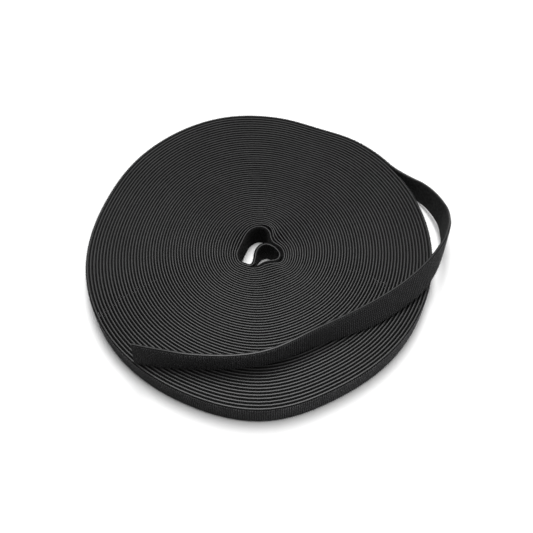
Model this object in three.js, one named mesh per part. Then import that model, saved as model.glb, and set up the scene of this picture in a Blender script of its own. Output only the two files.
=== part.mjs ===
// A roll of narrow back-to-back hook and loop tape, wound flat without a core.
// One tape is wound into a disc that lies on its side. Its inner end curls back in
// the small heart-shaped eye of the disc, and its outer end leaves the disc, bulges
// out, climbs over the rim and stands on edge across the disc's top face.
//
// Millimetres, +Z up, the disc's axis upright. The origin is the middle of the
// object's outline, on the surface that it lies on.

import * as THREE from 'three';

// Driving dimensions.
const TAPE_WIDTH = 19.05;      // three quarters of an inch, which is the disc's height
const LOOSE_THICK = 1.8;       // the tape with its hooks and loops standing free
const CORE_THICK = 1.2;        // the same tape pressed together near the eye
const GAP = 0.3;               // between neighbouring pieces
const ROOT_GAP = 0.6;          // along the tape, from the disc to where each end starts
const REST = TAPE_WIDTH + GAP; // height of what lies on the disc's top face

// The winding, measured at the middle of the tape's thickness. Turn 0 is where the
// innermost turn passes bearing 180. Bearings are in degrees from +X towards +Y, and
// the tape runs clockwise as it winds outwards.
const EYE_RADIUS = 17.5;       // of turn 0, before its dents
const FIRST_PITCH = 1.56;      // growth of the radius over the innermost turn
const PITCH_GROWTH = 0.0065;   // extra growth for each turn, as the winding loosens
const INNER_TURN = -0.17;      // where the curled inner end begins
const OUTER_TURN = 53.397;     // where the loose end leaves the disc
const DENT_FADE = 10;          // turns over which the eye's dents die away
const SWELL_POWER = 1.6;       // how the rim's swells grow towards the outside

// The eye is dented from a circle into a heart: one deep dent, one shallow one.
const DENTS = [
  { bearing: 0, depth: -2.9 },
  { bearing: 18, depth: -6.9 },
  { bearing: 32, depth: -7.6 },
  { bearing: 46, depth: -6.4 },
  { bearing: 60, depth: -3.3 },
  { bearing: 75, depth: -0.8 },
  { bearing: 90, depth: 0 },
  { bearing: 110, depth: -1.1 },
  { bearing: 135, depth: -3.7 },
  { bearing: 158, depth: -4.7 },
  { bearing: 180, depth: -3.7 },
  { bearing: 200, depth: -1.1 },
  { bearing: 222, depth: 0.7 },
  { bearing: 240, depth: -0.3 },
  { bearing: 255, depth: -0.9 },
  { bearing: 270, depth: -2.1 },
  { bearing: 288, depth: -3.6 },
  { bearing: 305, depth: -2.4 },
  { bearing: 322, depth: 1.4 },
  { bearing: 340, depth: 0.4 },
];

// The rim is not quite round either: it swells at the back and flattens in places.
const SWELLS = [
  { bearing: 0, depth: 1.9 },
  { bearing: 28, depth: 3.2 },
  { bearing: 52, depth: 3.1 },
  { bearing: 68, depth: 0.3 },
  { bearing: 84, depth: 3.4 },
  { bearing: 105, depth: 6.2 },
  { bearing: 135, depth: 3.1 },
  { bearing: 160, depth: -1.0 },
  { bearing: 190, depth: 0.3 },
  { bearing: 212, depth: 0.2 },
  { bearing: 245, depth: -1.2 },
  { bearing: 272, depth: 1.0 },
  { bearing: 297, depth: -2.6 },
  { bearing: 325, depth: -0.9 },
];

// The curled inner end, on edge on the surface: it turns back from the foot of the
// eye, rises beside the open slot, loops over and comes back along the eye's foot.
const INNER_END = [
  { x: -6.2, y: -15.3 },
  { x: -3.9, y: -13.8 },
  { x: -3.0, y: -11.0 },
  { x: -2.4, y: -7.8 },
  { x: -2.1, y: -4.8 },
  { x: -0.8, y: -1.3 },
  { x: 1.9, y: 1.7 },
  { x: 5.6, y: 2.6 },
  { x: 9.4, y: 1.0 },
  { x: 12.6, y: -2.1 },
  { x: 14.4, y: -5.8 },
  { x: 13.2, y: -9.3 },
  { x: 10.0, y: -10.8 },
  { x: 6.3, y: -11.3 },
  { x: 2.7, y: -12.7 },
  { x: -1.2, y: -15.3 },
];

// The loose end, from the disc outwards. x and y place the middle of its width, foot
// is the height of its lower edge, and lean tips its top outwards from upright.
const LOOSE_END = [
  { x: 103.8, y: 67.8, foot: 0.2, lean: 2 },
  { x: 112.2, y: 60.8, foot: 0.3, lean: 5 },
  { x: 120.2, y: 53.2, foot: 2.1, lean: 6 },
  { x: 126.7, y: 42.4, foot: 4.9, lean: 6 },
  { x: 131.2, y: 27.3, foot: 8.7, lean: 8 },
  { x: 131.0, y: 14.0, foot: 12.1, lean: 6 },
  { x: 128.6, y: 3.4, foot: 16.2, lean: 1 },
  { x: 124.4, y: -8.0, foot: 19.0, lean: -5 },
  { x: 116.8, y: -21.4, foot: 21.2, lean: -15 },
  { x: 106.5, y: -34.1, foot: 21.6, lean: -24 },
  { x: 93.5, y: -45.0, foot: 20.6, lean: -25 },
  { x: 76.5, y: -56.1, foot: 19.8, lean: -25 },
  { x: 59.2, y: -64.8, foot: REST, lean: -18 },
  { x: 38.0, y: -74.1, foot: REST, lean: -8 },
  { x: 10.0, y: -87.0, foot: REST, lean: 0 },
  { x: -13.0, y: -91.5, foot: REST, lean: 2 },
  { x: -40.0, y: -91.5, foot: REST, lean: -1 },
  { x: -60.0, y: -89.5, foot: REST, lean: -9 },
  { x: -77.9, y: -86.0, foot: REST, lean: -10 },
];

// How finely curves are cut into straight facets.
const RIM_STEPS = 200;
const EYE_STEPS = 120;
const STEPS_PER_ROW = 5;
const ROOT_SETBACK = 0.02;     // turns back from a root, to carry its direction on

const cloth = (color, roughness) => new THREE.MeshStandardMaterial({
  color, roughness, metalness: 0,
});
const woundCloth = cloth(0x1d1d1f, 0.95);
const hookCloth = cloth(0x2a2a2d, 0.85);
const loopCloth = cloth(0x111112, 1.0);

// Depth at any bearing, on a smooth closed curve through a table's rows.
function depthAt(rows, bearing) {
  const at = THREE.MathUtils.euclideanModulo(bearing, 360);
  const count = rows.length;
  const next = rows.findIndex((row) => row.bearing > at);
  const b = next < 0 ? count : next;
  const row = (i) => {
    const turn = Math.floor(i / count);
    const { bearing: angle, depth } = rows[i - turn * count];
    return { angle: angle + 360 * turn, depth };
  };
  const [before, from, to, after] = [row(b - 2), row(b - 1), row(b), row(b + 1)];
  const span = to.angle - from.angle;
  const t = (at - from.angle) / span;
  const slopeFrom = span * (to.depth - before.depth) / (to.angle - before.angle);
  const slopeTo = span * (after.depth - from.depth) / (after.angle - from.angle);
  const t2 = t * t;
  const t3 = t2 * t;
  return (2 * t3 - 3 * t2 + 1) * from.depth + (t3 - 2 * t2 + t) * slopeFrom
    + (3 * t2 - 2 * t3) * to.depth + (t3 - t2) * slopeTo;
}

// Where the middle of the tape lies, seen from above, after a number of turns.
function windingPoint(turn) {
  const bearing = 180 - 360 * turn;
  const round = EYE_RADIUS + FIRST_PITCH * turn + PITCH_GROWTH * turn * turn;
  const dent = depthAt(DENTS, bearing) * Math.exp(-Math.max(turn, 0) / DENT_FADE);
  const outwards = Math.max(turn, 0) / OUTER_TURN;
  const swell = depthAt(SWELLS, bearing) * outwards ** SWELL_POWER;
  const angle = THREE.MathUtils.degToRad(bearing);
  return new THREE.Vector2(Math.cos(angle), Math.sin(angle))
    .multiplyScalar(round + dent + swell);
}

// One whole turn of the winding, as evenly spread points.
function oneTurn(first, steps) {
  return Array.from({ length: steps + 1 }, (_, i) => windingPoint(first + i / steps));
}

// A path moved sideways, to the left of its travel for a positive distance.
function offsetPath(points, distance) {
  return points.map((point, i) => {
    const back = points[Math.max(i - 1, 0)];
    const ahead = points[Math.min(i + 1, points.length - 1)];
    const along = ahead.clone().sub(back).normalize();
    return new THREE.Vector2(-along.y, along.x).multiplyScalar(distance).add(point);
  });
}

// A flat outline raised to the width of the tape.
function raised(shape) {
  return new THREE.ExtrudeGeometry(shape, { depth: TAPE_WIDTH, bevelEnabled: false });
}

// The wound disc: the outer face of the last turn, and the eye inside the first.
function woundDisc() {
  const rim = offsetPath(oneTurn(OUTER_TURN - 1, RIM_STEPS), LOOSE_THICK / 2);
  const eye = offsetPath(oneTurn(INNER_TURN, EYE_STEPS), -CORE_THICK / 2);
  const disc = new THREE.Shape(rim.reverse());
  disc.holes.push(new THREE.Path(eye));
  return raised(disc);
}

// A path without its first stretch, so that the piece keeps clear of its root.
function trimmed(points, length) {
  const whole = new THREE.CatmullRomCurve3(points, false, 'centripetal');
  const start = length / whole.getLength();
  const last = points.length - 1;
  return points.map((_, i) => whole.getPointAt(THREE.MathUtils.lerp(start, 1, i / last)));
}

// The curled inner end, standing on edge.
function innerEnd() {
  const root = windingPoint(INNER_TURN);
  const rows = [windingPoint(INNER_TURN + ROOT_SETBACK), root, ...INNER_END]
    .map(({ x, y }) => new THREE.Vector3(x, y, 0));
  const curve = new THREE.CatmullRomCurve3(rows, false, 'catmullrom', 0.5);
  const steps = STEPS_PER_ROW * (rows.length - 2);
  const first = 1 / (rows.length - 1);
  const whole = Array.from({ length: steps + 1 },
    (_, i) => curve.getPoint(first + (1 - first) * i / steps));
  const path = trimmed(whole, ROOT_GAP).map(({ x, y }) => new THREE.Vector2(x, y));
  const left = offsetPath(path, CORE_THICK / 2);
  const right = offsetPath(path, -CORE_THICK / 2);
  return raised(new THREE.Shape([...left, ...right.reverse()]));
}

// Stations along the loose end: the middle of its width, and its lean in degrees.
function looseStations() {
  const root = windingPoint(OUTER_TURN);
  const before = windingPoint(OUTER_TURN - ROOT_SETBACK);
  const rows = [
    { x: before.x, y: before.y, foot: 0, lean: 0 },
    { x: root.x, y: root.y, foot: 0, lean: 0 },
    ...LOOSE_END,
  ];
  const middles = rows.map(({ x, y, foot, lean }) => {
    const tip = THREE.MathUtils.degToRad(lean);
    const rise = TAPE_WIDTH / 2 * Math.cos(tip) + LOOSE_THICK / 2 * Math.abs(Math.sin(tip));
    return new THREE.Vector3(x, y, foot + rise);
  });
  const leans = rows.map(({ lean }, i) => new THREE.Vector3(i, lean, 0));
  const middleCurve = new THREE.CatmullRomCurve3(middles, false, 'catmullrom', 0.5);
  const leanCurve = new THREE.CatmullRomCurve3(leans, false, 'catmullrom', 0.5);
  const steps = STEPS_PER_ROW * (rows.length - 2);
  const first = 1 / (rows.length - 1);
  return Array.from({ length: steps + 1 }, (_, i) => {
    const t = first + (1 - first) * i / steps;
    return {
      middle: middleCurve.getPoint(t),
      along: middleCurve.getTangent(t),
      lean: THREE.MathUtils.degToRad(leanCurve.getPoint(t).y),
    };
  });
}

// The loose end: a rectangular section carried along its stations.
function looseEnd() {
  const stations = looseStations();
  stations[0].middle.addScaledVector(stations[0].along, ROOT_GAP);
  const positions = [];
  for (const { middle, along, lean } of stations) {
    const right = along.clone().cross(new THREE.Vector3(0, 0, 1)).normalize();
    const upright = right.clone().cross(along);
    const across = upright.clone().multiplyScalar(Math.cos(lean))
      .addScaledVector(right, -Math.sin(lean));
    const facing = along.clone().cross(across);
    for (const [u, v] of [[-1, -1], [1, -1], [1, 1], [-1, 1]]) {
      const corner = middle.clone()
        .addScaledVector(facing, u * LOOSE_THICK / 2)
        .addScaledVector(across, v * TAPE_WIDTH / 2);
      positions.push(corner.x, corner.y, corner.z);
    }
  }
  const triangles = [0, 1, 2, 0, 2, 3];
  for (let i = 0; i < stations.length - 1; i += 1) {
    for (let side = 0; side < 4; side += 1) {
      const a = 4 * i + side;
      const b = 4 * i + (side + 1) % 4;
      triangles.push(a, a + 4, b + 4, a, b + 4, b);
    }
  }
  const end = 4 * (stations.length - 1);
  triangles.push(end, end + 2, end + 1, end, end + 3, end + 2);
  const geometry = new THREE.BufferGeometry();
  geometry.setAttribute('position', new THREE.Float32BufferAttribute(positions, 3));
  geometry.setIndex(triangles);
  return geometry;
}

function piece(name, geometry, material) {
  const mesh = new THREE.Mesh(geometry, material);
  mesh.name = name;
  return mesh;
}

const tapeRoll = new THREE.Group();
tapeRoll.add(piece('roll', woundDisc(), woundCloth));
tapeRoll.add(piece('inner_end', innerEnd(), loopCloth));
tapeRoll.add(piece('loose_end', looseEnd(), hookCloth));

// The middle of the whole outline comes over the origin.
const outline = new THREE.Box3().setFromObject(tapeRoll);
const middle = outline.getCenter(new THREE.Vector3());
tapeRoll.position.set(-middle.x, -middle.y, -outline.min.z);

export default tapeRoll;
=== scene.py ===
"""The looks of a flat roll of narrow hook and loop tape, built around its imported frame.

One long tape has hooks on its outer face, looped pile on its inner face and a woven
selvedge along both edges. It is wound flat into a disc. The inner end curls back in the
disc's eye, and the loose outer end climbs over the rim and stands on the top face.
"""

import math
import random
from typing import NamedTuple

import bmesh
import bpy
from bpy.props import FloatProperty, FloatVectorProperty, IntProperty, PointerProperty
from mathutils import Matrix, Vector, noise


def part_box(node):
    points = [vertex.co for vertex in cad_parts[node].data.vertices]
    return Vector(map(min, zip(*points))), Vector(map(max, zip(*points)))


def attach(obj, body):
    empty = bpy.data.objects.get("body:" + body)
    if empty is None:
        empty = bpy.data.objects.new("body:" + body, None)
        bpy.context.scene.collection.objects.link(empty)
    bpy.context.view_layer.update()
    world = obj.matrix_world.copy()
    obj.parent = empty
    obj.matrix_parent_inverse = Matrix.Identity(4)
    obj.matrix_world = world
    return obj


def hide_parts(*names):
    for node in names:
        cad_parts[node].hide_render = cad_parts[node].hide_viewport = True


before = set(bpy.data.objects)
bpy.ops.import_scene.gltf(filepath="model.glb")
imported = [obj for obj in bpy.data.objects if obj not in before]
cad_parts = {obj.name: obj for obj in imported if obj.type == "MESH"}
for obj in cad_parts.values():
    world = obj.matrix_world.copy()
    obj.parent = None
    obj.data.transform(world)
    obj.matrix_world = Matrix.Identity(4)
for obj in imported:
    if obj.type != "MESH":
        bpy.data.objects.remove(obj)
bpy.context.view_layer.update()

bl_info = {
    "name": "Roll of hook and loop tape",
    "version": (1, 0, 0),
    "blender": (4, 5, 0),
    "location": "3D View > Sidebar > Tape Roll",
    "description": "Winds a flat roll of narrow hook and loop tape with both ends showing",
    "category": "Object",
}

MM = 0.001
ROLL_LOW, ROLL_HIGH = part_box("roll")
TAPE_WIDTH = ROLL_HIGH.z - ROLL_LOW.z
UP = Vector((0, 0, 1))

# The winding, in millimetres at the middle of the tape's thickness. Turn 0 is where the
# innermost turn passes bearing 180, and the tape runs clockwise as it winds outwards.
EYE_RADIUS = 17.5
FIRST_PITCH = 1.56
PITCH_GROWTH = 0.0065  # half of what the pitch grows by in each turn
INNER_TURN = -0.17  # where the inner end leaves the disc
PARTED_TURN = 30  # where the disc's inner part ends and its outer part starts
OUTER_TURN = 53.397  # where the loose end leaves the disc
DENT_FADE = 10  # turns
SWELL_POWER = 1.6
SLACK_START = 0.35  # turns
SLACK_FADE = 1.5  # turns
UNEVENNESS = 0.07
HALF_LOOSE = 0.9  # half the thickness of tape with its hooks and loops standing free
REST = 19.35  # height of what lies on the disc's top face
ROOT_SETBACK = 0.02  # turns back from a root, to carry its direction on
AIM = (5.22, -4.013, 0)  # what the camera looks at, from the disc's axis

# The pattern of the tape, in metres: the lines of hooks stand on the ribs of their ground.
HOOK_PITCH = 0.00144
CORD_PITCH = 0.00069  # cords that cross the ribs
WEFT_PITCH = 0.00062
WARP_PITCH = 0.00034


class Bend(NamedTuple):
    """How far the winding lies off its circle at a bearing, in degrees and millimetres."""

    bearing: float
    depth: float


class Foot(NamedTuple):
    """A place on the loose end, in millimetres from the disc's axis.

    The middle of its width is at x and y, its lower edge stands at the foot's height, and its
    upper edge leans by so many degrees.
    """

    x: float
    y: float
    foot: float
    lean: float


# The disc isn't quite round. The dents are deepest at the innermost turn and fade outwards,
# the swells grow towards the rim, and the slack loosens the first turns round the eye.
DENTS = [Bend(*row) for row in (
    (0, -2.9), (18, -6.9), (32, -7.6), (46, -6.4), (60, -3.3), (75, -0.8), (90, 0),
    (110, -1.1), (135, -3.7), (158, -4.7), (180, -3.7), (200, -1.1), (222, 0.7),
    (240, -0.3), (255, -0.9), (270, -2.1), (288, -3.6), (305, -2.4), (322, 1.4),
    (340, 0.4),
)]
SWELLS = [Bend(*row) for row in (
    (0, 1.9), (28, 3.2), (52, 3.1), (68, 0.3), (84, 3.4), (105, 6.2), (135, 3.1),
    (160, -1.0), (190, 0.3), (212, 0.2), (245, -1.2), (272, 1.0), (297, -2.6), (325, -0.9),
)]
SLACK = [Bend(*row) for row in (
    (0, 0), (40, 0), (52, 1.4), (64, 3.1), (77, 1.9), (94, 0), (180, 0), (270, 0),
)]
# Places (x, y) on the curled inner end, in millimetres from the disc's axis, from where it
# leaves the disc to its cut edge.
INNER_END = (
    (-6.2, -15.3), (-3.9, -13.8), (-3.0, -11.0), (-2.4, -7.8), (-2.1, -4.8), (-0.8, -1.3),
    (1.9, 1.7), (5.6, 2.6), (9.4, 1.0), (12.6, -2.1), (14.4, -5.8), (13.2, -9.3),
    (10.0, -10.8), (6.3, -11.3), (2.7, -12.7), (-1.2, -15.3),
)
LOOSE_END = [Foot(*row) for row in (
    (103.8, 67.8, 0.2, 2),
    (112.2, 60.8, 0.3, 5),
    (120.2, 53.2, 2.1, 6),
    (126.7, 42.4, 4.9, 6),
    (131.2, 27.3, 8.7, 8),
    (131.0, 14.0, 12.1, 6),
    (128.6, 3.4, 16.2, 1),
    (124.4, -8.0, 19.0, -5),
    (116.8, -21.4, 21.2, -15),
    (106.5, -34.1, 21.6, -24),
    (93.5, -45.0, 20.6, -25),
    (76.5, -56.1, 19.8, -25),
    (59.2, -64.8, REST, -18),
    (38.0, -74.1, REST, -8),
    (10.0, -87.0, REST, 0),
    (-13.0, -91.5, REST, 2),
    (-40.0, -91.5, REST, -1),
    (-60.0, -89.5, REST, -9),
    (-77.9, -86.0, REST, -10),
)]


# ---------------------------------------------------------------- what a user changes


def length(name, description, default):
    """A size in metres."""
    return FloatProperty(
        name=name, description=description, default=default, min=0, precision=5, unit="LENGTH"
    )


def colour(name, description, default):
    """A colour without its opacity."""
    return FloatVectorProperty(
        name=name, description=description, default=default, size=3, min=0, max=1,
        subtype="COLOR",
    )


class TapeSizes(bpy.types.PropertyGroup):
    """Sizes of the tape and of the hooks and loops on it."""

    width: length("Tape width", "Selvedge to selvedge", TAPE_WIDTH)
    base_inner: length("Base at the eye", "Thickness of the woven base at the eye", 0.00055)
    base_outer: length("Base at the rim", "Thickness of the woven base at the outer turns", 0.00088)
    hook_selvedge: length("Hook selvedge", "Bare width at each edge of the hook side", 0.0006)
    loop_selvedge: length("Loop selvedge", "Bare width beside free loops", 0.0004)
    eye_selvedge: length("Eye selvedge", "Bare width beside the pile round the eye", 0.0002)
    pressed_selvedge: length("Pressed selvedge", "Bare width beside pressed loops", 0.0011)
    ramp: length("Ramp", "Width over which hooks and loops rise beside the selvedge", 0.0002)
    hook_ground: length("Hook ground", "Rise of the ground that free hooks stand on", 0.00070)
    loop_ground: length("Loop ground", "Rise of the matted pile under free loops", 0.00050)
    eye_ground: length("Eye ground", "Rise of the deep pile round the eye", 0.0011)
    curl_ground: length("Curl ground", "Rise of the hook ground inside the curl", 0.00015)
    hook_height: length("Hook height", "Height of a standing hook", 0.00060)
    hook_thickness: length("Hook thickness", "Diameter of a hook's filament", 0.00022)
    hook_pitch: length("Hook spacing", "Distance between crosswise lines of hooks", HOOK_PITCH)
    hook_rows: IntProperty(
        name="Hook rows", description="Hooks side by side across the tape", default=13, min=2
    )
    loop_height: length("Loop height", "Height of a standing loop of the pile", 0.00048)
    loop_thickness: length("Loop thickness", "Diameter of the pile's yarn", 0.00009)
    loop_pitch: length("Loop spacing", "Distance between loops of the pile", 0.0012)
    steps: IntProperty(
        name="Steps", description="Straight facets in each turn of the winding", default=108,
        min=24,
    )


class TapeColours(bpy.types.PropertyGroup):
    """Colours of the tape and of the floor."""

    selvedge: colour("Selvedge", "Woven edge of the tape", (0.0335, 0.0335, 0.0337))
    ground: colour("Hook ground", "Woven ground between the hooks", (0.0115, 0.0115, 0.0118))
    # dark as hooks meshed with pile are, with painted shade of the narrow gaps between turns added
    pressed: colour("Pressed", "Hooks and loops pressed between turns", (0.004, 0.004, 0.0041))
    filament: colour("Hooks", "Stiff filament of the hooks", (0.0265, 0.0265, 0.0281))
    pile: colour("Loops", "Looped pile of the inner face", (0.014, 0.014, 0.0142))
    floor: colour("Floor", "Plain pale floor", (0.93, 0.93, 0.93))


class StageSettings(bpy.types.PropertyGroup):
    """Where the camera stands, and how strong the light is."""

    elevation: FloatProperty(
        name="Elevation", description="Camera's angle above the floor",
        default=math.radians(57.7), subtype="ANGLE",
    )
    distance: length("Distance", "From the camera to the point it looks at", 0.52916)
    lens: FloatProperty(name="Lens", description="Focal length", default=50, unit="CAMERA")
    sky: FloatProperty(name="Sky", description="Strength of the even light", default=0.37, min=0)
    key: FloatProperty(
        name="Key light", description="Power of the soft light above the roll", default=11.8,
        min=0, subtype="POWER",
    )
    fill: FloatProperty(
        name="Fill light", description="Power of the wide light in front and to the right",
        default=11, min=0, subtype="POWER",
    )


# ------------------------------------------------------------------ where the tape runs


def smooth_step(value):
    """Rises smoothly from 0 to 1 as the value goes from 0 to 1."""
    t = min(max(value, 0.0), 1.0)
    return t * t * (3 - 2 * t)


def depth_at(bends, bearing):
    """Depth at any bearing, on a smooth closed curve through the bends."""
    count = len(bends)
    at = bearing % 360
    after = next((i for i, bend in enumerate(bends) if bend.bearing > at), count)

    def place(i):
        lap, row = divmod(i, count)
        return bends[row].bearing + 360 * lap, bends[row].depth

    (a0, d0), (a1, d1), (a2, d2), (a3, d3) = (place(after + i) for i in (-2, -1, 0, 1))
    span = a2 - a1
    t = (at - a1) / span
    slope1 = span * (d2 - d0) / (a2 - a0)
    slope2 = span * (d3 - d1) / (a3 - a1)
    return (
        (2 * t**3 - 3 * t**2 + 1) * d1 + (t**3 - 2 * t**2 + t) * slope1
        + (3 * t**2 - 2 * t**3) * d2 + (t**3 - t**2) * slope2
    )


def uneven(turn, bearing, seed):
    """Slow unevenness along the tape, from -1 to 1 and the same at each run."""
    around, outwards = 2.3, 1.9  # how fast it changes round the disc and from turn to turn
    angle = math.radians(bearing)
    return noise.noise(
        Vector((around * math.cos(angle), around * math.sin(angle), outwards * turn + seed))
    )


def wound_radius(turn):
    """Distance from the disc's axis to the middle of the tape's thickness."""
    bearing = 180 - 360 * turn
    outwards = max(turn, 0)
    plain = EYE_RADIUS + FIRST_PITCH * turn + PITCH_GROWTH * turn * turn
    dent = depth_at(DENTS, bearing) * math.exp(-outwards / DENT_FADE)
    swell = depth_at(SWELLS, bearing) * (outwards / OUTER_TURN) ** SWELL_POWER
    slack = depth_at(SLACK, bearing) * smooth_step(outwards - SLACK_START)
    slack *= math.exp(-outwards / SLACK_FADE)
    return (plain + dent + swell + slack + UNEVENNESS * uneven(turn, bearing, 0)) * MM


def wound_place(turn):
    """Middle of the tape's thickness after a number of turns, about the disc's axis."""
    angle = math.radians(180 - 360 * turn)
    return Vector((math.cos(angle), math.sin(angle), 0)) * wound_radius(turn)


def disc_centre():
    """Where the disc's axis stands: the outermost turn fills the roll's box."""
    rim = [wound_place(OUTER_TURN - i / 360) for i in range(360)]
    rim = [place + place.normalized() * HALF_LOOSE * MM for place in rim]
    low = [min(place[k] for place in rim) for k in (0, 1)]
    high = [max(place[k] for place in rim) for k in (0, 1)]
    middle = (ROLL_LOW + ROLL_HIGH) / 2
    return Vector((middle.x - (low[0] + high[0]) / 2, middle.y - (low[1] + high[1]) / 2, 0))


def along_curve(points, t):
    """Point and direction at t, from 0 to 1, on the smooth curve through the points."""
    last = len(points) - 1
    i = min(int(t * last), last - 1)
    u = t * last - i
    a, b = points[i], points[i + 1]
    before = points[i - 1] if i else 2 * a - b
    after = points[i + 2] if i + 2 <= last else 2 * b - a
    slope_a, slope_b = (b - before) / 2, (after - a) / 2
    cubic = 2 * a - 2 * b + slope_a + slope_b
    square = 3 * b - 3 * a - 2 * slope_a - slope_b
    place = cubic * u**3 + square * u**2 + slope_a * u + a
    return place, 3 * cubic * u**2 + 2 * square * u + slope_a


class Station(NamedTuple):
    """One place along the tape. The hooks face outwards and the loops inwards."""

    foot: Vector  # middle of the lower edge's thickness
    along: Vector  # towards the loose end
    outwards: Vector  # from the loop side to the hook side
    across: Vector  # from the lower edge to the upper one
    base: float  # thickness of the woven base
    hooks: float  # rise of the hook side above the base
    loops: float  # rise of the loop side
    bare: float  # bare width at each edge of the loop side
    extra: float = 0  # what the upper edge stands above the tape's width
    crown: float = 0  # how round the edges are, from 0 in the disc to 1 on free tape
    run: float = 0  # length of tape up to here


def measured(stations):
    """The stations with the length of tape up to each of them."""
    run = 0.0
    result = []
    for i, station in enumerate(stations):
        if i:
            middle = station.foot + station.across * TAPE_WIDTH / 2
            back = stations[i - 1].foot + stations[i - 1].across * TAPE_WIDTH / 2
            run += (middle - back).length
        result.append(station._replace(run=run))
    return result


def base_at(sizes, turn):
    """Thickness of the woven base, which is pressed thinner towards the eye."""
    share = min(max(turn / OUTER_TURN, 0), 1)
    return sizes.base_inner + (sizes.base_outer - sizes.base_inner) * share


class Share(NamedTuple):
    """What one side takes of the gap between neighbouring turns."""

    part: float
    most: float  # in metres


HOOK_SHARE = Share(0.56, 0.00075)
LOOP_SHARE = Share(0.15, 0.00055)
RIM_OPENING = 0.006  # turns in which the hooks come free, where the outermost turn starts
EYE_OPENING = 0.01  # turns in which the loops get pressed, where the innermost turn ends
EDGE_UNEVENNESS = 0.00012  # of the disc's top face, in metres
EDGE_SEED = 40
EDGE_LEVEL = 0.05  # turns in which the top face levels out towards both ends


def wound_station(sizes, centre, turn):
    """A station of the disc. Hooks and loops share the gap between neighbouring turns."""
    reach = 0.0005  # turns to either side
    along = (wound_place(turn + reach) - wound_place(turn - reach)).normalized()
    outwards = Vector((-along.y, along.x, 0))
    place = wound_place(turn)
    slant = outwards.dot(place.normalized())
    base = base_at(sizes, turn)
    gap_out = (wound_radius(turn + 1) - wound_radius(turn)) * slant - base
    gap_in = (wound_radius(turn) - wound_radius(turn - 1)) * slant - base
    hooks = min(HOOK_SHARE.part * gap_out, HOOK_SHARE.most)
    loops = min(LOOP_SHARE.part * gap_in, LOOP_SHARE.most)
    free_out = smooth_step((turn - OUTER_TURN + 1) / RIM_OPENING)
    free_in = smooth_step((INNER_TURN + 1 - turn) / EYE_OPENING)
    hooks += (sizes.hook_ground - hooks) * free_out
    loops += (sizes.eye_ground - loops) * free_in
    bare = sizes.pressed_selvedge + (sizes.eye_selvedge - sizes.pressed_selvedge) * free_in
    inside = min(turn - INNER_TURN, OUTER_TURN - turn)
    extra = EDGE_UNEVENNESS * uneven(turn, 180 - 360 * turn, EDGE_SEED)
    extra *= smooth_step(inside / EDGE_LEVEL)
    return Station(centre + place, along, outwards, UP, base, hooks, loops, bare, extra)


def disc_stations(sizes, first, last):
    """The disc between two turns."""
    centre = disc_centre()
    count = math.ceil((last - first) * sizes.steps)
    return measured(
        [wound_station(sizes, centre, first + (last - first) * i / count) for i in range(count + 1)]
    )


def inner_stations(sizes):
    """The curled inner end, from its cut edge to where it joins the disc."""
    centre = disc_centre()
    root = wound_station(sizes, centre, INNER_TURN)
    rows = [wound_place(INNER_TURN + ROOT_SETBACK), wound_place(INNER_TURN)]
    rows += [Vector((x, y, 0)) * MM for x, y in INNER_END]
    steps = 6  # from each place to the next
    blend = 8  # steps in which the disc's section gives way to the curl's
    first = 1 / (len(rows) - 1)
    count = steps * (len(rows) - 2)
    stations = []
    for i in range(count + 1):
        place, away = along_curve(rows, first + (1 - first) * i / count)
        along = -away.normalized()
        near = 1 - smooth_step(i / blend)
        stations.append(Station(
            centre + place, along, Vector((-along.y, along.x, 0)), UP,
            base=root.base,
            hooks=sizes.curl_ground + (root.hooks - sizes.curl_ground) * near,
            loops=root.loops,
            bare=root.bare,
        ))
    return measured(stations[::-1])


def loose_stations(sizes):
    """The loose end, from where it leaves the disc to its cut edge."""
    centre = disc_centre()
    root = wound_station(sizes, centre, OUTER_TURN)
    before, at = wound_place(OUTER_TURN - ROOT_SETBACK), wound_place(OUTER_TURN)
    half = TAPE_WIDTH / 2
    rows = [Vector((*before.xy, half, 0)), Vector((*at.xy, half, 0))]
    for row in LOOSE_END:
        lean = math.radians(row.lean)
        rise = half * math.cos(lean) + HALF_LOOSE * MM * abs(math.sin(lean))
        rows.append(Vector((row.x * MM, row.y * MM, row.foot * MM + rise, lean)))
    steps = 13  # from each place to the next
    blend = 10  # steps in which the disc's section gives way to that of free tape
    flat_from, flat_over = 0.6, 0.2  # shares of the length, where the edges lose their crown
    first = 1 / (len(rows) - 1)
    count = steps * (len(rows) - 2)
    stations = []
    for i in range(count + 1):
        place, away = along_curve(rows, first + (1 - first) * i / count)
        along = away.xyz.normalized()
        right = along.cross(UP).normalized()
        upright = right.cross(along)
        across = upright * math.cos(place.w) - right * math.sin(place.w)
        near = 1 - smooth_step(i / blend)
        crown = (1 - near) * (1 - smooth_step((i / count - flat_from) / flat_over))
        stations.append(Station(
            centre + place.xyz - across * half, along, across.cross(along), across,
            base=root.base,
            hooks=sizes.hook_ground,
            loops=sizes.loop_ground + (root.loops - sizes.loop_ground) * near,
            bare=sizes.loop_selvedge + (root.bare - sizes.loop_selvedge) * near,
            crown=crown,
        ))
    return measured(stations)


def at_run(stations, run):
    """The place after a length of tape, between the two stations beside it."""
    low, high = 0, len(stations) - 1
    while high - low > 1:
        middle = (low + high) // 2
        low, high = (middle, high) if stations[middle].run <= run else (low, middle)
    a, b = stations[low], stations[high]
    t = (run - a.run) / (b.run - a.run)
    return Station(*(p + (q - p) * t for p, q in zip(a, b)))


# ----------------------------------------------------------------------- the tape itself

SELVEDGE, HOOK_GROUND, PILE = range(3)  # the order of a tape's finishes
# The finish of each strip round the tape's section, from the middle of its lower edge.
STRIPS = (
    [SELVEDGE] * 2 + [HOOK_GROUND] * 5 + [SELVEDGE] * 4 + [PILE] * 5 + [SELVEDGE] * 2
)
CORNER = math.radians(42)  # a sharper angle between strips stays a crisp line


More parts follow.
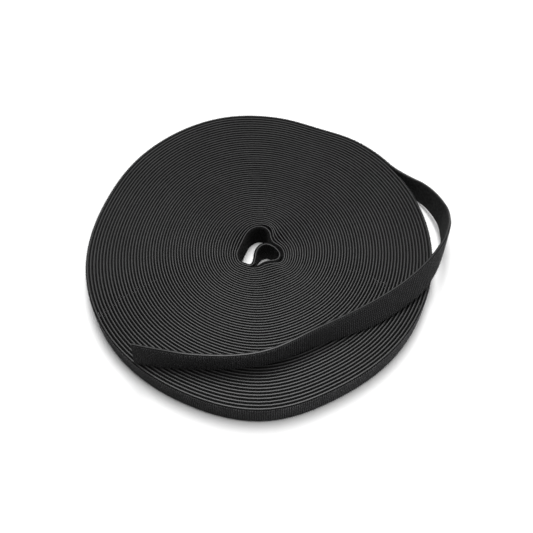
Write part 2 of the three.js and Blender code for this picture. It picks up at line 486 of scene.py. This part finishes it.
def section(sizes, station):
    """The tape's outline as (outwards, up), from the middle of its lower edge and round."""
    half = station.base / 2
    top = sizes.width + station.extra
    bare, edge, ramp = sizes.hook_selvedge, station.bare, sizes.ramp
    out, back = half + station.hooks, -half - station.loops
    # Each edge is nearly flat over its lips and chamfered beyond them. Free tape's is rounder.
    lip = (0.40 - 0.12 * station.crown) * station.base
    near = 0.00002 + 0.00003 * station.crown
    far = 0.00018 + 0.00007 * station.crown
    return [
        (0, 0), (lip, near), (half, far), (half, bare),
        (out, bare + ramp), (out, top - bare - ramp),
        (half, top - bare), (half, top - far), (lip, top - near), (0, top),
        (-lip, top - near), (-half, top - far), (-half, top - edge),
        (back, top - edge - ramp), (back, edge + ramp),
        (-half, edge), (-half, far), (-lip, near), (0, 0),
    ]


def tape(name, sizes, stations, finishes):
    """A length of tape: a flat grid bent round the section and laid along the stations."""
    around = len(STRIPS)
    bm = bmesh.new()
    uv = bm.loops.layers.uv.new("tape")
    bmesh.ops.create_grid(bm, x_segments=around, y_segments=len(stations) - 1, size=1)
    bm.verts.index_update()
    outline = section(sizes, stations[0])
    girth = [0.0]
    for a, b in zip(outline, outline[1:]):
        girth.append(girth[-1] + math.dist(a, b))
    for face in bm.faces:
        places = [divmod(loop.vert.index, around + 1) for loop in face.loops]
        face.material_index = STRIPS[min(column for _, column in places)]
        face.smooth = True
        for loop, (row, column) in zip(face.loops, places):
            loop[uv].uv = stations[row].run, girth[column]
    seam = []
    outlines = (section(sizes, station) for station in stations)
    vertices = iter(bm.verts)
    for station, outline in zip(stations, outlines):
        for column, (out, up) in enumerate(outline):
            vertex = next(vertices)
            vertex.co = station.foot + station.outwards * out + station.across * up
            if column in (0, around):
                seam.append(vertex)
    bmesh.ops.remove_doubles(bm, verts=seam, dist=1e-7)
    bmesh.ops.holes_fill(bm, edges=[edge for edge in bm.edges if edge.is_boundary], sides=0)
    bmesh.ops.recalc_face_normals(bm, faces=bm.faces)
    for edge in bm.edges:
        edge.smooth = edge.calc_face_angle(0) < CORNER
    return finished(name, bm, finishes)


def finished(name, bm, materials):
    """A new object in the scene from a bmesh."""
    mesh = bpy.data.meshes.new(name)
    bm.to_mesh(mesh)
    bm.free()
    for material in materials:
        mesh.materials.append(material)
    piece = bpy.data.objects.new(name, mesh)
    bpy.context.scene.collection.objects.link(piece)
    return piece


# --------------------------------------------------------------- hooks, loops and threads


class Seat(NamedTuple):
    """Where one small shape stands: its foot, how it is turned, and its size."""

    place: Vector
    turned: tuple
    size: float


def seat(station, up, rise, heading, tilt, size):
    """A seat on a face of the tape: rise above the base, up the width, turned by heading."""
    side = 1 if rise > 0 else -1
    facing = station.outwards * side
    along = station.along
    place = station.foot + station.across * up + station.outwards * rise
    axes = Matrix((along, facing.cross(along), facing)).transposed()
    turn = axes @ Matrix.Rotation(heading, 3, "Z") @ Matrix.Rotation(tilt, 3, "X")
    return Seat(place, tuple(turn.to_euler()), size)


def hook_shape(sizes):
    """A cut loop of stiff filament: one leg bends over into a hook, the other is a stub."""
    radius = sizes.hook_thickness / 2
    bend = 1.5 * sizes.hook_thickness
    stem = sizes.hook_height - bend - radius
    stub = 0.6 * stem
    bm = bmesh.new()
    for x, height in ((bend, stub), (-bend, stem)):
        place = Matrix.Translation((x, 0, height / 2))
        bmesh.ops.create_cone(
            bm, cap_ends=True, segments=4, radius1=radius, radius2=radius, depth=height,
            matrix=place,
        )
    feet = [face for face in bm.faces if face.calc_center_median().z < 1e-9]
    bmesh.ops.delete(bm, geom=feet, context="FACES_ONLY")
    top = max(bm.faces, key=lambda face: face.calc_center_median().z)
    bmesh.ops.spin(
        bm, geom=[top], cent=(0, 0, stem), axis=(0, 1, 0), dvec=(0, 0, 0),
        angle=math.radians(155), steps=4,
    )
    return small_shape("hook", bm)


def loop_shape(sizes):
    """A soft loop of thin yarn, with both feet in the ground."""
    radius = sizes.loop_height / 1.6
    bm = bmesh.new()
    bmesh.ops.create_circle(
        bm, cap_ends=True, segments=3, radius=sizes.loop_thickness / 2,
        matrix=Matrix.Translation((-radius, 0, 0)),
    )
    bmesh.ops.spin(
        bm, geom=list(bm.faces), cent=(0, 0, 0), axis=(0, 1, 0), dvec=(0, 0, 0),
        angle=math.pi, steps=5,
    )
    bmesh.ops.scale(bm, verts=bm.verts, vec=(0.75, 1, 1.5))
    return small_shape("loop", bm)


def thread_shape():
    """A short end of yarn, bent a little."""
    radius, bend = 0.00006, 0.0014
    bm = bmesh.new()
    bmesh.ops.create_circle(bm, cap_ends=True, segments=4, radius=radius)
    bmesh.ops.spin(
        bm, geom=list(bm.faces), cent=(bend, 0, 0), axis=(0, 1, 0), dvec=(0, 0, 0),
        angle=math.radians(40), steps=4,
    )
    return small_shape("thread", bm)


def small_shape(name, bm):
    """A smooth small shape, to be copied and then removed."""
    bmesh.ops.recalc_face_normals(bm, faces=bm.faces)
    for face in bm.faces:
        face.smooth = True
    return finished(name, bm, [])


def copies_group(small, material):
    """Geometry nodes that set a copy of the small shape on each seat and make it real."""
    group = bpy.data.node_groups.new("Copies on seats", "GeometryNodeTree")
    for way in ("INPUT", "OUTPUT"):
        group.interface.new_socket("Geometry", in_out=way, socket_type="NodeSocketGeometry")
    enter = group.nodes.new("NodeGroupInput")
    leave = group.nodes.new("NodeGroupOutput")
    shape = group.nodes.new("GeometryNodeObjectInfo")
    shape.inputs["Object"].default_value = small
    copy = group.nodes.new("GeometryNodeInstanceOnPoints")
    real = group.nodes.new("GeometryNodeRealizeInstances")
    paint = group.nodes.new("GeometryNodeSetMaterial")
    paint.inputs["Material"].default_value = material
    link = group.links.new
    for name, kind, socket in (("turned", "FLOAT_VECTOR", "Rotation"), ("size", "FLOAT", "Scale")):
        read = group.nodes.new("GeometryNodeInputNamedAttribute")
        read.data_type = kind
        read.inputs["Name"].default_value = name
        link(read.outputs["Attribute"], copy.inputs[socket])
    link(enter.outputs[0], copy.inputs["Points"])
    link(shape.outputs["Geometry"], copy.inputs["Instance"])
    link(copy.outputs["Instances"], real.inputs["Geometry"])
    link(real.outputs["Geometry"], paint.inputs["Geometry"])
    link(paint.outputs["Geometry"], leave.inputs[0])
    return group


def copies(name, small, seats, material):
    """One mesh with a copy of the small shape on every seat."""
    bm = bmesh.new()
    for each in seats:
        bm.verts.new(each.place)
    piece = finished(name, bm, [material])
    mesh = piece.data
    turned = mesh.attributes.new("turned", "FLOAT_VECTOR", "POINT")
    turned.data.foreach_set("vector", [value for each in seats for value in each.turned])
    size = mesh.attributes.new("size", "FLOAT", "POINT")
    size.data.foreach_set("value", [each.size for each in seats])
    modifier = piece.modifiers.new("Copies", "NODES")
    modifier.node_group = copies_group(small, material)
    bpy.context.view_layer.update()
    depsgraph = bpy.context.evaluated_depsgraph_get()
    real = bpy.data.meshes.new_from_object(piece.evaluated_get(depsgraph))
    piece.modifiers.clear()
    piece.data = real
    real.name = name
    bpy.data.meshes.remove(mesh)
    bpy.data.objects.remove(small)
    return piece


class Stretch(NamedTuple):
    """A stretch of tape that shows its hooks or loops, between two lengths along it.

    It keeps a little clear of where the tape lies against the next turn.
    """

    name: str
    stations: list
    first: float
    last: float
    finish: bpy.types.Material
    size: float = 1


def hook_seats(sizes, stretch, rng):
    """Crosswise lines of hooks, which lose their order in the last part of the tape."""
    even, worn = 0.00012, 0.0004  # how far hooks stray along the tape
    worn_from, worn_over = 0.13, 0.07  # lengths of tape from its end, and of the change
    astray = 0.00006  # how far they stray across it
    sunk = 0.00005
    end = stretch.stations[-1].run
    inset = sizes.hook_selvedge + sizes.ramp
    spread = sizes.width - 2 * inset
    seats = []
    for line in range(int((stretch.last - stretch.first) / sizes.hook_pitch)):
        for row in range(sizes.hook_rows):
            run = stretch.first + (line + 0.5) * sizes.hook_pitch
            ragged = even + worn * smooth_step((run - end + worn_from) / worn_over)
            run = min(run + rng.uniform(-1, 1) * ragged, stretch.last)
            station = at_run(stretch.stations, run)
            rise = station.base / 2 + station.hooks - sunk
            up = inset + spread * row / (sizes.hook_rows - 1) + rng.uniform(-1, 1) * astray
            heading = (row % 2) * math.pi + rng.uniform(-0.2, 0.2)
            seats.append(seat(
                station, up, rise, heading, rng.uniform(-0.12, 0.12),
                stretch.size * rng.uniform(0.92, 1.06),
            ))
    return seats


def loop_seats(sizes, stretch, rng):
    """Loops of the pile, none quite in line."""
    sunk = 0.00006
    inset = sizes.loop_selvedge + sizes.ramp / 2
    spread = sizes.width - 2 * inset
    rows = round(spread / sizes.loop_pitch)
    seats = []
    for line in range(int((stretch.last - stretch.first) / sizes.loop_pitch)):
        for row in range(rows + 1):
            run = stretch.first + (line + rng.uniform(0.1, 0.9)) * sizes.loop_pitch
            station = at_run(stretch.stations, run)
            up = inset + spread * (row + rng.uniform(-0.4, 0.4)) / rows
            up = min(max(up, inset), sizes.width - inset)
            rise = -station.base / 2 - station.loops + sunk
            seats.append(seat(
                station, up, rise, rng.uniform(0, math.tau), rng.uniform(-0.5, 0.5),
                rng.uniform(0.75, 1.2),
            ))
    return seats


# ------------------------------------------------------------------------------- finishes


class Nodes:
    """A material's node tree, with short ways to add to it."""

    def __init__(self, name):
        self.material = bpy.data.materials.new(name)
        self.material.use_nodes = True
        self.tree = self.material.node_tree
        self.shader = self.tree.nodes["Principled BSDF"]

    def add(self, kind, inputs=None, **settings):
        made = self.tree.nodes.new(kind)
        for key, value in settings.items():
            setattr(made, key, value)
        for key, value in (inputs or {}).items():
            if isinstance(value, bpy.types.NodeSocket):
                self.tree.links.new(value, made.inputs[key])
            else:
                made.inputs[key].default_value = value
        return made

    def math(self, operation, *values):
        made = self.add("ShaderNodeMath", dict(enumerate(values)), operation=operation)
        return made.outputs[0]

    def wave(self, socket, pitch):
        """A smooth wave from 0 to 1 with that pitch in metres."""
        angle = self.math("MULTIPLY", socket, math.tau / pitch)
        return self.math("MULTIPLY_ADD", self.math("SINE", angle), 0.5, 0.5)

    def noise(self, vector, scale, detail, roughness=0.5):
        made = self.add(
            "ShaderNodeTexNoise",
            {"Vector": vector, "Scale": scale, "Detail": detail, "Roughness": roughness},
        )
        return made.outputs["Fac"]

    def ramp(self, factor, stops):
        """A colour for each factor, from stops of (position, colour)."""
        made = self.add("ShaderNodeValToRGB", {"Fac": factor})
        elements = made.color_ramp.elements
        for i, (position, rgb) in enumerate(stops):
            element = elements[i] if i < 2 else elements.new(position)
            element.position = position
            element.color = (*rgb, 1)
        return made.outputs["Color"]

    def bump(self, height, distance):
        made = self.add("ShaderNodeBump", {"Height": height, "Distance": distance})
        self.tree.links.new(made.outputs["Normal"], self.shader.inputs["Normal"])

    def set(self, **values):
        """Sets the shader's own sockets, or links to them, by their names."""
        for name, value in values.items():
            socket = self.shader.inputs[name.replace("_", " ")]
            if isinstance(value, bpy.types.NodeSocket):
                self.tree.links.new(value, socket)
            else:
                socket.default_value = value

    def between(self, value, start, end, at_start, at_end):
        """Fades from one number to another between two limits of the value."""
        made = self.add("ShaderNodeMapRange", {
            "Value": value, "From Min": start, "From Max": end, "To Min": at_start,
            "To Max": at_end,
        })
        return made.outputs["Result"]

    def scaled(self, tint, factor):
        made = self.add(
            "ShaderNodeVectorMath", {"Vector": tint, "Scale": factor}, operation="SCALE"
        )
        return made.outputs["Vector"]

    def tape_lengths(self):
        """Length along the tape and distance round it, in metres."""
        parts = self.add(
            "ShaderNodeSeparateXYZ",
            {"Vector": self.add("ShaderNodeUVMap", uv_map="tape").outputs["UV"]},
        )
        return parts.outputs["X"], parts.outputs["Y"]


def shades(rgb, *factors):
    """A colour made darker and lighter by each factor."""
    return [tuple(min(value * factor, 1) for value in rgb) for factor in factors]


def selvedge_finish(colours):
    """Tightly woven edge: weft threads turn round it, warp threads run along it."""
    nodes = Nodes("woven selvedge")
    along, around = nodes.tape_lengths()
    place = nodes.add("ShaderNodeTexCoord").outputs["Object"]
    weft = nodes.math("POWER", nodes.wave(along, WEFT_PITCH), 0.6)
    warp = nodes.math("MULTIPLY_ADD", nodes.wave(around, WARP_PITCH), 0.3, 0.7)
    weave = nodes.math("MULTIPLY", weft, warp)
    wear = nodes.noise(place, 900, 4)
    patches = nodes.noise(place, 45, 3)
    mixed = nodes.math("MULTIPLY_ADD", wear, 0.45, nodes.math("MULTIPLY", weave, 0.3))
    mixed = nodes.math("MULTIPLY_ADD", patches, 0.35, mixed)
    dark, middle, light = shades(colours.selvedge, 0.5, 0.95, 1.5)
    tint = nodes.ramp(mixed, [(0.25, dark), (0.55, middle), (0.9, light)])
    nodes.set(Base_Color=tint, Roughness=0.34, Specular_IOR_Level=0.235)
    nodes.bump(nodes.math("MULTIPLY_ADD", wear, 0.5, weave), 0.00002)
    return nodes.material


def ground_finish(colours):
    """The woven ground between the hooks, with painted shade that darkens it near the cut end."""
    shade_from, shade_to = 0.25, 0.31  # lengths of tape
    nodes, tint = ribbed("woven hook ground", colours.ground, 0.3, 2.0)
    along, _ = nodes.tape_lengths()
    # painted shade: the ground fades to half its colour towards the cut end
    shade = nodes.between(along, shade_from, shade_to, 1, 0.5)
    nodes.set(Base_Color=nodes.scaled(tint, shade))
    return nodes.material


def pressed_finish(colours):
    """Hooks caught in the loops of the next turn: dark as hooks meshed with pile are, and darker
    still with painted shade of the narrow gaps between turns; lighter on each line of hooks.
    """
    nodes, tint = ribbed("pressed hooks", colours.pressed, 0.3, 1.6)
    nodes.set(Base_Color=tint)
    return nodes.material


def ribbed(name, rgb, darker, lighter):
    """The crosswise ribs that the lines of hooks stand on, and their colour."""
    nodes = Nodes(name)
    along, around = nodes.tape_lengths()
    place = nodes.add("ShaderNodeTexCoord").outputs["Object"]
    rib = nodes.math("POWER", nodes.wave(along, HOOK_PITCH), 1.5)
    cord = nodes.math("MULTIPLY_ADD", nodes.wave(around, CORD_PITCH), 0.4, 0.6)
    weave = nodes.math("MULTIPLY", rib, cord)
    wear = nodes.noise(place, 1100, 3)
    mixed = nodes.math("MULTIPLY_ADD", wear, 0.5, nodes.math("MULTIPLY", weave, 0.6))
    dark, light = shades(rgb, darker, lighter)
    nodes.set(Roughness=0.8, Specular_IOR_Level=0.12)
    nodes.bump(weave, 0.00008)
    return nodes, nodes.ramp(mixed, [(0.2, dark), (0.85, light)])


def pile_finish(colours):
    """Matted pile that gives back little light."""
    nodes, tint, _ = matted("looped pile", colours.pile)
    nodes.set(Base_Color=tint)
    return nodes.material


def flat_pile_finish(colours):
    """The flattened pile of the disc, with painted shade that makes it darkest on the turn round
    the eye.
    """
    shaded_to, plain_from = 0.019, 0.022  # distances from the disc's axis
    nodes, tint, place = matted("flattened pile", shades(colours.pile, 1.6)[0])
    level = nodes.add(
        "ShaderNodeVectorMath", {0: place, 1: (1, 1, 0)}, operation="MULTIPLY"
    ).outputs["Vector"]
    away = nodes.add(
        "ShaderNodeVectorMath", {0: level, 1: disc_centre()}, operation="DISTANCE"
    ).outputs["Value"]
    # painted shade: the pile on the turn round the eye at a fifth of its colour
    shade = nodes.between(away, shaded_to, plain_from, 0.2, 1)
    nodes.set(Base_Color=nodes.scaled(tint, shade))
    return nodes.material


def matted(name, rgb):
    """A coat of tufts, its colour and the coordinates that it follows."""
    nodes = Nodes(name)
    place = nodes.add("ShaderNodeTexCoord").outputs["Object"]
    tufts = nodes.noise(place, 1500, 4, 0.6)
    clumps = nodes.noise(place, 480, 2)
    mottled = nodes.math("MULTIPLY_ADD", clumps, 0.6, nodes.math("MULTIPLY", tufts, 0.4))
    dark, light = shades(rgb, 0.3, 2.0)
    nodes.set(Roughness=0.95, Specular_IOR_Level=0.06, Sheen_Weight=0.03, Sheen_Roughness=0.4)
    nodes.bump(tufts, 0.00025)
    return nodes, nodes.ramp(mottled, [(0.3, dark), (0.7, light)]), place


def filament_finish(colours):
    """Filament of the rim's hooks, with painted light that makes it lighter on the right half of
    the rim.
    """
    # painted light: the rim's hooks up to 2.6 times lighter on the right half
    return filament("hook filament", colours.filament, 1, 2.6)


def shaded_loose_filament_finish(colours):
    """Filament of the loose end's hooks, with painted shade that darkens it towards the cut end."""
    # painted shade: the hooks at 0.6 of their colour towards the cut end on the left
    return filament("loose filament", colours.filament, 0.6, 1)


def shaded_curl_filament_finish(colours):
    """Filament of the hooks deep in the curl, in the pressed colour as painted shade."""
    return filament("curl filament", colours.pressed, 1, 1)


def filament(name, rgb, at_left, at_right):
    """Smooth stiff filament with a soft shine, its colour scaled to the left and right."""
    nodes = Nodes(name)
    place = nodes.add("ShaderNodeTexCoord").outputs["Object"]
    batch = nodes.noise(place, 160, 2)
    dark, light = shades(rgb, 0.7, 1.35)
    tint = nodes.ramp(batch, [(0.35, dark), (0.65, light)])
    leftwards, rightwards = (-0.02, -0.07), (-0.015, 0.015)  # where each scale sets in
    side = nodes.add("ShaderNodeSeparateXYZ", {"Vector": place}).outputs["X"]
    tint = nodes.scaled(tint, nodes.between(side, *leftwards, 1, at_left))
    tint = nodes.scaled(tint, nodes.between(side, *rightwards, 1, at_right))
    nodes.set(Base_Color=tint, Roughness=0.38, Specular_IOR_Level=0.5)
    nodes.bump(nodes.noise(place, 5000, 1), 0.00001)
    return nodes.material


def yarn_finish(colours):
    """Soft yarn of the loops."""
    return yarn("loop yarn", colours.pile)


def shaded_eye_yarn_finish(colours):
    """Yarn of the loops deep in the eye and the curl, in the pressed colour as painted shade."""
    return yarn("eye yarn", colours.pressed)


def yarn(name, rgb):
    """Fine soft yarn, a lighter shade of its colour."""
    nodes = Nodes(name)
    place = nodes.add("ShaderNodeTexCoord").outputs["Object"]
    batch = nodes.noise(place, 400, 2)
    dark, light = shades(rgb, 1.3, 3.0)
    tint = nodes.ramp(batch, [(0.3, dark), (0.7, light)])
    nodes.set(Base_Color=tint, Roughness=0.8, Specular_IOR_Level=0.25)
    nodes.bump(nodes.noise(place, 9000, 1), 0.00001)
    return nodes.material


def floor_finish(colours):
    """A matt floor, almost even in colour."""
    nodes = Nodes("pale floor")
    place = nodes.add("ShaderNodeTexCoord").outputs["Object"]
    dark, light = shades(colours.floor, 0.99, 1.0)
    tint = nodes.ramp(nodes.noise(place, 3, 2), [(0.3, dark), (0.7, light)])
    nodes.set(Base_Color=tint, Roughness=0.9, Specular_IOR_Level=0.1)
    return nodes.material


def finish(name, make, colours):
    """The finish of that name, made the first time that it is wanted."""
    return bpy.data.materials.get(name) or make(colours)


def wound_finishes(colours):
    """Selvedge, hook side and loop side of tape whose hooks are pressed."""
    return [
        finish("woven selvedge", selvedge_finish, colours),
        finish("pressed hooks", pressed_finish, colours),
        finish("flattened pile", flat_pile_finish, colours),
    ]


def free_finishes(colours):
    """Selvedge, hook side and loop side of free tape."""
    return [
        finish("woven selvedge", selvedge_finish, colours),
        finish("woven hook ground", ground_finish, colours),
        finish("looped pile", pile_finish, colours),
    ]


def placed(piece, slot, *nodes):
    """The piece belongs to the roll and stands for the nodes, whose parts it hides. The slot is not
    used.
    """
    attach(piece, "root")
    if nodes:
        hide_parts(*nodes)
    return piece


# ------------------------------------------------------------------------------ operators


class TapeOperator:
    """What every step that makes a piece of tape has in common."""

    bl_options = {"REGISTER", "UNDO"}

    def execute(self, context):
        self.make(context.scene.tape_sizes, context.scene.tape_colours)
        return {"FINISHED"}


class TAPE_OT_winding(TapeOperator, bpy.types.Operator):
    """Wind the disc, in an inner and an outer part"""

    bl_idname = "tape.winding"
    bl_label = "Wind the Disc"

    def make(self, sizes, colours):
        parts = (
            ("winding_inner", INNER_TURN, PARTED_TURN),
            ("winding_outer", PARTED_TURN, OUTER_TURN),
        )
        for name, first, last in parts:
            stations = disc_stations(sizes, first, last)
            piece = tape(name, sizes, stations, wound_finishes(colours))
            placed(piece, "wound_tape", "roll")


class TAPE_OT_inner_end(TapeOperator, bpy.types.Operator):
    """Curl the inner end in the disc's eye"""

    bl_idname = "tape.inner_end"
    bl_label = "Curl the Inner End"

    def make(self, sizes, colours):
        stations = inner_stations(sizes)
        piece = tape("inner_end_tape", sizes, stations, wound_finishes(colours))
        placed(piece, "loop_face", "inner_end")


class TAPE_OT_loose_end(TapeOperator, bpy.types.Operator):
    """Lay the loose end over the rim and across the top face"""

    bl_idname = "tape.loose_end"
    bl_label = "Lay the Loose End"

    def make(self, sizes, colours):
        stations = loose_stations(sizes)
        piece = tape("loose_end_tape", sizes, stations, free_finishes(colours))
        placed(piece, "hook_face", "loose_end")


class TAPE_OT_hooks(TapeOperator, bpy.types.Operator):
    """Set the hooks on every face that shows them"""

    bl_idname = "tape.hooks"
    bl_label = "Set the Hooks"

    def make(self, sizes, colours):
        free = finish("hook filament", filament_finish, colours)
        shaded_loose = finish("loose filament", shaded_loose_filament_finish, colours)
        # the hooks deep in the curl take a darker filament as painted shade
        sunk = finish("curl filament", shaded_curl_filament_finish, colours)
        rng = random.Random(7)
        rim = disc_stations(sizes, OUTER_TURN - 1, OUTER_TURN)
        loose = loose_stations(sizes)
        curl = inner_stations(sizes)
        middle = rim[-1].run / 2
        stretches = (
            Stretch("hooks_rim_front", rim, 0.012, middle, free),
            Stretch("hooks_rim_back", rim, middle, rim[-1].run, free),
            Stretch("hooks_loose_end", loose, 0, loose[-1].run, shaded_loose),
            Stretch("hooks_inner_end", curl, 0, curl[-1].run - 0.006, sunk, size=0.5),
        )
        for stretch in stretches:
            seats = hook_seats(sizes, stretch, rng)
            piece = copies(stretch.name, hook_shape(sizes), seats, stretch.finish)
            placed(piece, "hook_face")


class TAPE_OT_loops(TapeOperator, bpy.types.Operator):
    """Raise the loops of the pile on every face that shows them"""

    bl_idname = "tape.loops"
    bl_label = "Raise the Loops"

    def make(self, sizes, colours):
        free = finish("loop yarn", yarn_finish, colours)
        # the loops deep in the eye and the curl take a darker yarn as painted shade
        sunk = finish("eye yarn", shaded_eye_yarn_finish, colours)
        rng = random.Random(11)
        eye = disc_stations(sizes, INNER_TURN, INNER_TURN + 1)
        loose = loose_stations(sizes)
        curl = inner_stations(sizes)
        stretches = (
            Stretch("loops_loose_end", loose, 0.006, loose[-1].run, free),
            Stretch("loops_eye", eye, 0, eye[-1].run - 0.004, sunk),
            Stretch("loops_inner_end", curl, 0, curl[-1].run, sunk),
        )
        for stretch in stretches:
            seats = loop_seats(sizes, stretch, rng)
            piece = copies(stretch.name, loop_shape(sizes), seats, stretch.finish)
            placed(piece, "loop_face")


class TAPE_OT_cut_threads(TapeOperator, bpy.types.Operator):
    """Fray the two cut ends a little"""

    bl_idname = "tape.cut_threads"
    bl_label = "Fray the Cut Ends"

    def make(self, sizes, colours):
        threads, inset, sunk = 26, 0.0006, 0.0001
        material = finish("loop yarn", yarn_finish, colours)
        rng = random.Random(23)
        seats = []
        for station, sign in ((loose_stations(sizes)[-1], 1), (inner_stations(sizes)[0], -1)):
            ahead = station.along * sign
            side = station.outwards
            axes = Matrix((side, ahead.cross(side), ahead)).transposed()
            for _ in range(threads):
                turn = axes @ Matrix.Rotation(rng.uniform(0, math.tau), 3, "Z")
                place = station.foot + station.across * rng.uniform(inset, sizes.width - inset)
                place += side * rng.uniform(-0.4, 0.4) * station.base - ahead * sunk
                seats.append(Seat(place, tuple(turn.to_euler()), rng.uniform(0.4, 1.0)))
        placed(copies("cut_threads", thread_shape(), seats, material), "wound_tape")


class TAPE_OT_stage(bpy.types.Operator):
    """Set up the floor, the soft light and the camera"""

    bl_idname = "tape.stage"
    bl_label = "Set the Stage"

    def execute(self, context):
        stage = context.scene.tape_stage
        self.floor(context.scene.tape_colours)
        self.lights(context.scene, stage)
        self.camera(context.scene, stage)
        return {"FINISHED"}

    def floor(self, colours):
        """A plain sheet three metres to each side of the roll."""
        bm = bmesh.new()
        bmesh.ops.create_grid(bm, x_segments=2, y_segments=2, size=3)
        floor = finished("floor", bm, [floor_finish(colours)])

    def lights(self, scene, stage):
        """Even light from all round, and two soft lights."""
        world = bpy.data.worlds.new("even light")
        world.use_nodes = True
        sky = world.node_tree.nodes["Background"]
        sky.inputs["Color"].default_value = (1, 1, 1, 1)
        sky.inputs["Strength"].default_value = stage.sky
        scene.world = world
        self.light(
            scene, "key light", stage.key, size=(0.4, 0.82), place=Vector((0.0, 0.18, 1.0))
        )
        self.light(
            scene, "fill light", stage.fill, size=(1.6, 0.8), place=Vector((1.35, -0.7, 0.35))
        )
        scene.view_settings.view_transform = "Standard"

    def light(self, scene, name, power, size, place):
        """A soft light at that place, turned towards the middle of the roll."""
        light = bpy.data.lights.new(name, "AREA")
        light.shape = "ELLIPSE"
        light.size, light.size_y = size
        light.energy = power
        lamp = bpy.data.objects.new(name, light)
        lamp.location = place
        lamp.rotation_euler = (-place).to_track_quat("-Z", "Y").to_euler()
        scene.collection.objects.link(lamp)

    def camera(self, scene, stage):
        """A camera in front of the roll, looking down on it."""
        lens = bpy.data.cameras.new("camera")
        lens.lens = stage.lens
        camera = bpy.data.objects.new("camera", lens)
        target = disc_centre() + Vector(AIM) * MM
        angle = stage.elevation
        camera.location = target + stage.distance * Vector((0, -math.cos(angle), math.sin(angle)))
        camera.rotation_euler = (math.pi / 2 - angle, 0, 0)
        scene.collection.objects.link(camera)
        scene.camera = camera


STEPS = (
    TAPE_OT_stage, TAPE_OT_winding, TAPE_OT_inner_end, TAPE_OT_loose_end, TAPE_OT_hooks,
    TAPE_OT_loops, TAPE_OT_cut_threads,
)


class TAPE_PT_panel(bpy.types.Panel):
    """Lists the steps that build the roll"""

    bl_idname = "TAPE_PT_panel"
    bl_label = "Roll of Tape"
    bl_space_type = "VIEW_3D"
    bl_region_type = "UI"
    bl_category = "Tape Roll"

    def draw(self, context):
        for step in STEPS:
            self.layout.operator(step.bl_idname)
        for group in (getattr(context.scene, name) for name in GROUPS):
            box = self.layout.box()
            for name in group.bl_rna.properties.keys():
                if name not in ("name", "rna_type"):
                    box.prop(group, name)


GROUPS = {"tape_sizes": TapeSizes, "tape_colours": TapeColours, "tape_stage": StageSettings}


def register():
    for each in (*GROUPS.values(), *STEPS, TAPE_PT_panel):
        bpy.utils.register_class(each)
    for name, group in GROUPS.items():
        setattr(bpy.types.Scene, name, PointerProperty(type=group))


def unregister():
    for name in GROUPS:
        delattr(bpy.types.Scene, name)
    for each in reversed((*GROUPS.values(), *STEPS, TAPE_PT_panel)):
        bpy.utils.unregister_class(each)


def main():
    register()
    for step in STEPS:
        group, name = step.bl_idname.split(".")
        getattr(getattr(bpy.ops, group), name)()


if __name__ == "__main__":
    main()
